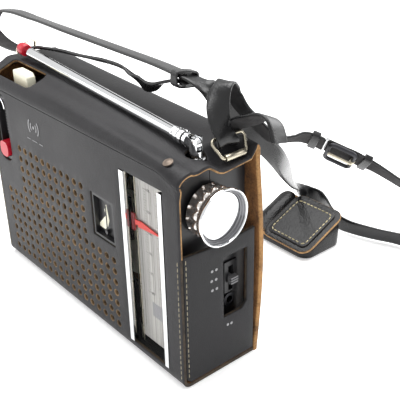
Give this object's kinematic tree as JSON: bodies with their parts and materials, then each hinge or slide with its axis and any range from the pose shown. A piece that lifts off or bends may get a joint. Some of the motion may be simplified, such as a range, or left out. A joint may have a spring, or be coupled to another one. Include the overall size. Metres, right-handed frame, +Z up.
{
  "type": "transistor radio",
  "caption": "Portable transistor radio in a stitched leather case, with tuning knob, dial, folded telescopic antenna, buckled shoulder strap on wire rings and a small earphone pouch.",
  "frame": {"origin": "centre of the leather case's flat bottom", "axes": "+X to the right seen from the front, +Y towards the back, +Z up; the speaker front faces -Y"},
  "size_m": [0.3222, 0.21, 0.1547],
  "materials": {
    "leather": "grained, lightly worn",
    "strap_leather": "smooth",
    "black_plastic": "satin",
    "chrome": "polished",
    "brass": "pale, polished",
    "silver_plate": "brushed",
    "cream_plastic": "glossy",
    "red_plastic": "glossy",
    "pointer_plastic": "matte",
    "clear_window": "clear",
    "zinc_plate": "zinc plated",
    "cell_jacket": "satin",
    "magnet": "sintered",
    "coil_wire": "enamelled copper",
    "paper": "pulp paper",
    "board": "phenolic",
    "cord": "braided"
  },
  "bodies": {
    "radio": {"case_front": "leather", "case_top_and_back": "leather", "case_end_right": "leather", "case_end_left": "leather", "top_press_stud": "brass", "front_cabinet": "black_plastic", "rear_cabinet": "black_plastic", "battery_cell_1": "cell_jacket", "battery_cell_2": "cell_jacket", "battery_cell_3": "cell_jacket", "battery_holder": "black_plastic", "buckle_frame": "brass", "circuit_board": "board", "dial_cord": "cord", "dial_scale_plate": "silver_plate", "dial_trim_left": "chrome", "dial_trim_right": "chrome", "dial_window": "clear_window", "earphone_jack": "chrome", "ferrite_coil": "coil_wire", "ferrite_rod": "magnet", "meter_face": "cream_plastic", "meter_housing": "black_plastic", "pointer_rail": "chrome", "pouch_body": "leather", "ring_clip_left": "brass", "ring_clip_right": "brass", "speaker_cone": "paper", "speaker_frame": "zinc_plate", "speaker_magnet": "magnet", "strap_keeper": "strap_leather", "strap_long": "strap_leather", "strap_short": "strap_leather", "switch_plate": "black_plastic", "tuning_capacitor": "zinc_plate", "volume_bezel": "black_plastic", "volume_control": "zinc_plate"},
    "tuning": {"tuning_knob": "chrome", "knob_face_disc": "chrome", "tuning_shaft": "zinc_plate"},
    "pointer": {"dial_pointer": "pointer_plastic"},
    "drum": {"tuning_drum": "cream_plastic"},
    "upper_pulley": {"cord_pulley_upper": "cream_plastic"},
    "lower_pulley": {"cord_pulley_lower": "cream_plastic"},
    "needle": {"meter_needle": "red_plastic"},
    "volume": {"volume_slider": "red_plastic"},
    "band": {"band_switch": "silver_plate"},
    "light_button": {"dial_light_button": "cream_plastic"},
    "antenna_base": {"antenna_turret": "chrome"},
    "antenna_arm": {"antenna_knuckle": "chrome", "antenna_section_1": "chrome"},
    "antenna_two": {"antenna_section_2": "chrome"},
    "antenna_three": {"antenna_section_3": "chrome"},
    "antenna_four": {"antenna_section_4": "chrome", "antenna_tip": "red_plastic"},
    "ring_right": {"strap_ring_right": "brass"},
    "ring_left": {"strap_ring_left": "brass"},
    "prong": {"buckle_prong": "brass"},
    "flap": {"pouch_flap": "leather"}
  },
  "joints": [
    {"name": "tuning_turn", "type": "hinge", "parent": "radio", "child": "tuning", "pos_m": [0.095, -0.0035, 0.097], "axis": [1, 0, 0], "range_deg": [-784, 295]},
    {"name": "pointer_slide", "type": "slide", "parent": "radio", "child": "pointer", "axis": [0, 0, 1], "range_m": [-0.0552, 0.0208]},
    {"name": "drum_turn", "type": "hinge", "parent": "radio", "child": "drum", "pos_m": [0.027, -0.0075, 0.06], "axis": [0, -1, 0], "range_deg": [-130, 50]},
    {"name": "upper_pulley_turn", "type": "hinge", "parent": "radio", "child": "upper_pulley", "pos_m": [0.052, -0.0075, 0.111], "axis": [0, -1, 0], "range_deg": [-950, 360]},
    {"name": "lower_pulley_turn", "type": "hinge", "parent": "radio", "child": "lower_pulley", "pos_m": [0.052, -0.0075, 0.013], "axis": [0, -1, 0], "range_deg": [-950, 360]},
    {"name": "meter_needle_turn", "type": "hinge", "parent": "radio", "child": "needle", "pos_m": [0.0292, -0.024, 0.0665], "axis": [0, 1, 0], "range_deg": [-25, 25], "stiffness_Nm_per_rad": 0.002},
    {"name": "volume_slide", "type": "slide", "parent": "radio", "child": "volume", "axis": [0, 0, 1], "range_m": [0, 0.0265]},
    {"name": "band_switch_slide", "type": "slide", "parent": "radio", "child": "band", "axis": [0, 0, 1], "range_m": [-0.005, 0.005]},
    {"name": "light_button_press", "type": "slide", "parent": "radio", "child": "light_button", "axis": [0, 0, -1], "range_m": [0, 0.0025], "stiffness_N_per_m": 300},
    {"name": "antenna_turn", "type": "hinge", "parent": "radio", "child": "antenna_base", "pos_m": [0.0825, -0.0045, 0.1295], "axis": [0, 0, 1], "range_deg": [0, 180]},
    {"name": "antenna_tilt", "type": "hinge", "parent": "antenna_base", "child": "antenna_arm", "pos_m": [0.0825, -0.0045, 0.1295], "axis": [0, 1, 0], "range_deg": [0, 86]},
    {"name": "antenna_slide_two", "type": "slide", "parent": "antenna_arm", "child": "antenna_two", "axis": [-0.9976, 0, 0.0698], "range_m": [0, 0.13]},
    {"name": "antenna_slide_three", "type": "slide", "parent": "antenna_two", "child": "antenna_three", "axis": [-0.9976, 0, 0.0698], "range_m": [0, 0.13]},
    {"name": "antenna_slide_four", "type": "slide", "parent": "antenna_three", "child": "antenna_four", "axis": [-0.9976, 0, 0.0698], "range_m": [0, 0.13]},
    {"name": "ring_right_swing", "type": "hinge", "parent": "radio", "child": "ring_right", "pos_m": [0.092, 0.0118, 0.122], "axis": [0, 1, 0], "range_deg": [-4, 4]},
    {"name": "ring_left_swing", "type": "hinge", "parent": "radio", "child": "ring_left", "pos_m": [-0.104, 0.0087, 0.1275], "axis": [-0.4794, 0.8776, 0], "range_deg": [-15, 5]},
    {"name": "buckle_prong_swing", "type": "hinge", "parent": "radio", "child": "prong", "pos_m": [0.12551, 0.05849, 0.11536], "axis": [0.5757, -0.3635, 0.7324], "range_deg": [0, 60]},
    {"name": "pouch_flap_open", "type": "hinge", "parent": "radio", "child": "flap", "pos_m": [0.024, 0.15, 0.0215], "axis": [-1, 0, 0], "range_deg": [0, 50]}
  ],
  "couplings": [
    {"joint": "pointer_slide", "follows": "tuning_turn", "m_per_rad": 0.00403},
    {"joint": "drum_turn", "follows": "tuning_turn", "ratio": 0.164},
    {"joint": "upper_pulley_turn", "follows": "tuning_turn", "ratio": 1.203},
    {"joint": "lower_pulley_turn", "follows": "tuning_turn", "ratio": 1.203}
  ]
}
